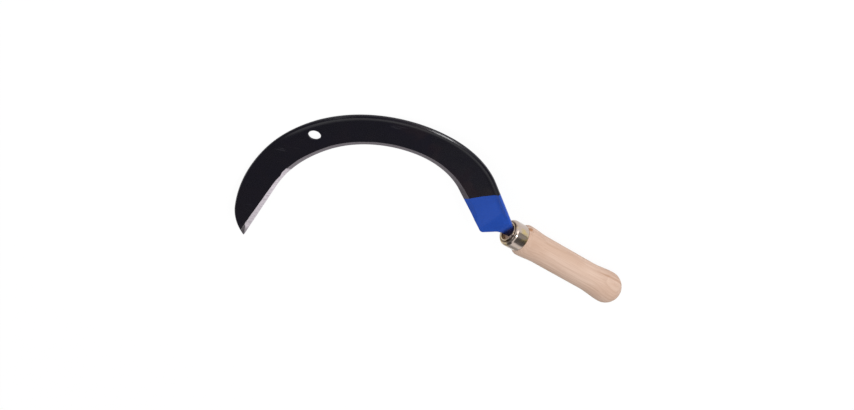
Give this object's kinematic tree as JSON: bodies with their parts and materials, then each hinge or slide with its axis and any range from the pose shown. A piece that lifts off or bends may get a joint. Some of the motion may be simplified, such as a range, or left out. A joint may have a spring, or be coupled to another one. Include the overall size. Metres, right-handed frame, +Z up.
{
  "type": "grass sickle",
  "caption": "Grass sickle: curved blade with raised back, ground inner bevel and hang hole, tang fixed by a ferrule in a turned wooden handle.",
  "frame": {"origin": "centre of the bounding box in X and Y, on the table at Z = 0", "axes": "+Z up, the sickle lying with its ground bevel upwards on the far side of the spine and on the rounded end of the handle; +X from the far side of the blade to the end of the handle; +Y from the cutting edge to the crown of the spine"},
  "size_m": [0.388, 0.2142, 0.0372],
  "materials": {
    "blade": "black lacquer with a bare ground bevel and a blue painted heel",
    "ferrule": "yellow passivated zinc plating",
    "handle": "plain turned beech"
  },
  "bodies": {
    "root": {"blade": "blade", "ferrule": "ferrule", "handle": "handle"}
  },
  "joints": []
}
